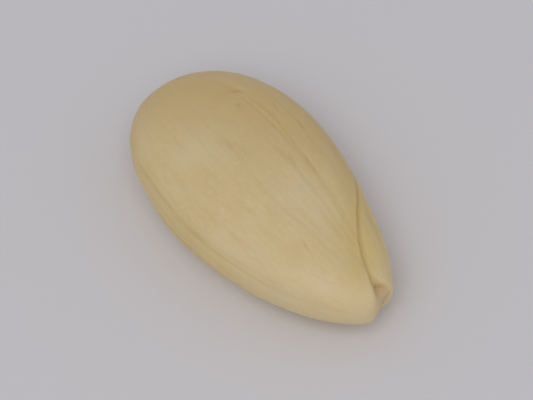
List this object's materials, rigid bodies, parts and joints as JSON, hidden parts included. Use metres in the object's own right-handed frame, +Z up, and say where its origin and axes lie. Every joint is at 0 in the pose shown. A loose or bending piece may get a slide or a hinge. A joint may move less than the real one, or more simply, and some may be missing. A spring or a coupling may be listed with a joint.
{
  "type": "blanched almond kernel",
  "caption": "Whole blanched almond: a flattened teardrop kernel with a fine seam between its seed leaves and a cleft at the point, lying flat.",
  "frame": {"origin": "on the surface that the kernel rests on, under the middle of its bounding box", "axes": "+X towards the pointed end, +Y to the straighter side that shows the lower seed leaf, +Z up"},
  "size_m": [0.027, 0.0146, 0.0082],
  "materials": {
    "kernel": "satin"
  },
  "bodies": {
    "root": {"kernel": "kernel"}
  },
  "joints": []
}
